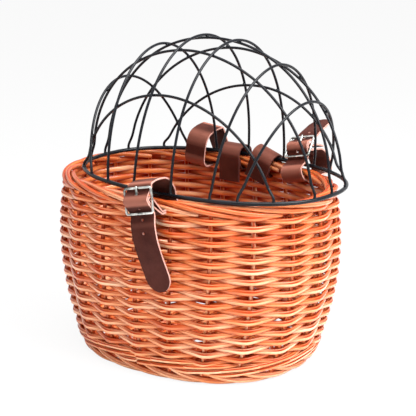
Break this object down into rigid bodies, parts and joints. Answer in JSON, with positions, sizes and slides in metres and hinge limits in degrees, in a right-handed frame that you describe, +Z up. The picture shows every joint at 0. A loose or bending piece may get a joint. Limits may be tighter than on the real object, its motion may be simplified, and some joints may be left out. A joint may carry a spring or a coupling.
{
  "type": "bicycle dog basket",
  "caption": "Oval willow bicycle basket for a small dog, with a hinged black wire dome as its lid, a leather closing strap and leather handlebar loops with buckles.",
  "frame": {"origin": "middle of the basket's base, at the height of the surface that the foot border stands on", "axes": "+X to the right along the basket's length, -Y towards the front with the closing strap, +Y towards the back with the hinge straps and handlebar straps, +Z up"},
  "size_m": [0.4587, 0.4041, 0.4772],
  "materials": {
    "woven_willow": "split willow rods, semi-gloss varnish",
    "peeled_rods": "whole willow rods, semi-gloss varnish",
    "black_wire": "black plastic coating, glossy",
    "leather": "brown leather, satin, raw cut edges",
    "nickel": "bright nickel plating"
  },
  "bodies": {
    "basket": {"closing_buckle_frame": "nickel", "closing_strap": "leather", "left_hinge_strap": "leather", "right_hinge_strap": "leather", "left_handlebar_buckle_frame": "nickel", "left_handlebar_strap": "leather", "right_handlebar_buckle_frame": "nickel", "right_handlebar_strap": "leather", "foot_border": "peeled_rods", "lower_waling": "woven_willow", "side_weave": "woven_willow", "upper_waling": "woven_willow", "rim_border": "peeled_rods", "base_weave": "woven_willow", "long_base_stick_1": "peeled_rods", "long_base_stick_2": "peeled_rods", "long_base_stick_3": "peeled_rods", "short_base_stick_1": "peeled_rods", "short_base_stick_2": "peeled_rods", "short_base_stick_3": "peeled_rods", "short_base_stick_4": "peeled_rods", "short_base_stick_5": "peeled_rods", "stake_01": "peeled_rods", "stake_02": "peeled_rods", "stake_03": "peeled_rods", "stake_04": "peeled_rods", "stake_05": "peeled_rods", "stake_06": "peeled_rods", "stake_07": "peeled_rods", "stake_08": "peeled_rods", "stake_09": "peeled_rods", "stake_10": "peeled_rods", "stake_11": "peeled_rods", "stake_12": "peeled_rods", "stake_13": "peeled_rods", "stake_14": "peeled_rods", "stake_15": "peeled_rods", "stake_16": "peeled_rods", "stake_17": "peeled_rods", "stake_18": "peeled_rods", "stake_19": "peeled_rods", "stake_20": "peeled_rods"},
    "lid": {"lid_ring": "black_wire", "cross_wire_1": "black_wire", "cross_wire_2": "black_wire", "cross_wire_3": "black_wire", "cross_wire_4": "black_wire", "cross_wire_5": "black_wire", "cross_wire_6": "black_wire", "long_wire_1": "black_wire", "long_wire_2": "black_wire", "long_wire_3": "black_wire", "long_wire_4": "black_wire", "long_wire_5": "black_wire"},
    "closing_prong": {"closing_buckle_prong": "nickel"},
    "left_handlebar_prong": {"left_handlebar_buckle_prong": "nickel"},
    "right_handlebar_prong": {"right_handlebar_buckle_prong": "nickel"}
  },
  "joints": [
    {"name": "lid_hinge", "type": "hinge", "parent": "basket", "child": "lid", "pos_m": [0, 0.1435, 0.2719], "axis": [-1, 0, 0], "range_deg": [0, 100], "deforming": ["closing_strap"]},
    {"name": "closing_prong_hinge", "type": "hinge", "parent": "basket", "child": "closing_prong", "pos_m": [0.03605, -0.17824, 0.27074], "axis": [0.9744, 0, 0.225], "range_deg": [0, 100], "deforming": ["closing_strap"]},
    {"name": "left_handlebar_prong_hinge", "type": "hinge", "parent": "basket", "child": "left_handlebar_prong", "pos_m": [-0.09496, 0.19084, 0.23834], "axis": [-0.9962, 0, 0.0872], "range_deg": [0, 15]},
    {"name": "right_handlebar_prong_hinge", "type": "hinge", "parent": "basket", "child": "right_handlebar_prong", "pos_m": [0.08398, 0.143, 0.29645], "axis": [0.9781, 0, 0.2079], "range_deg": [0, 15]}
  ]
}
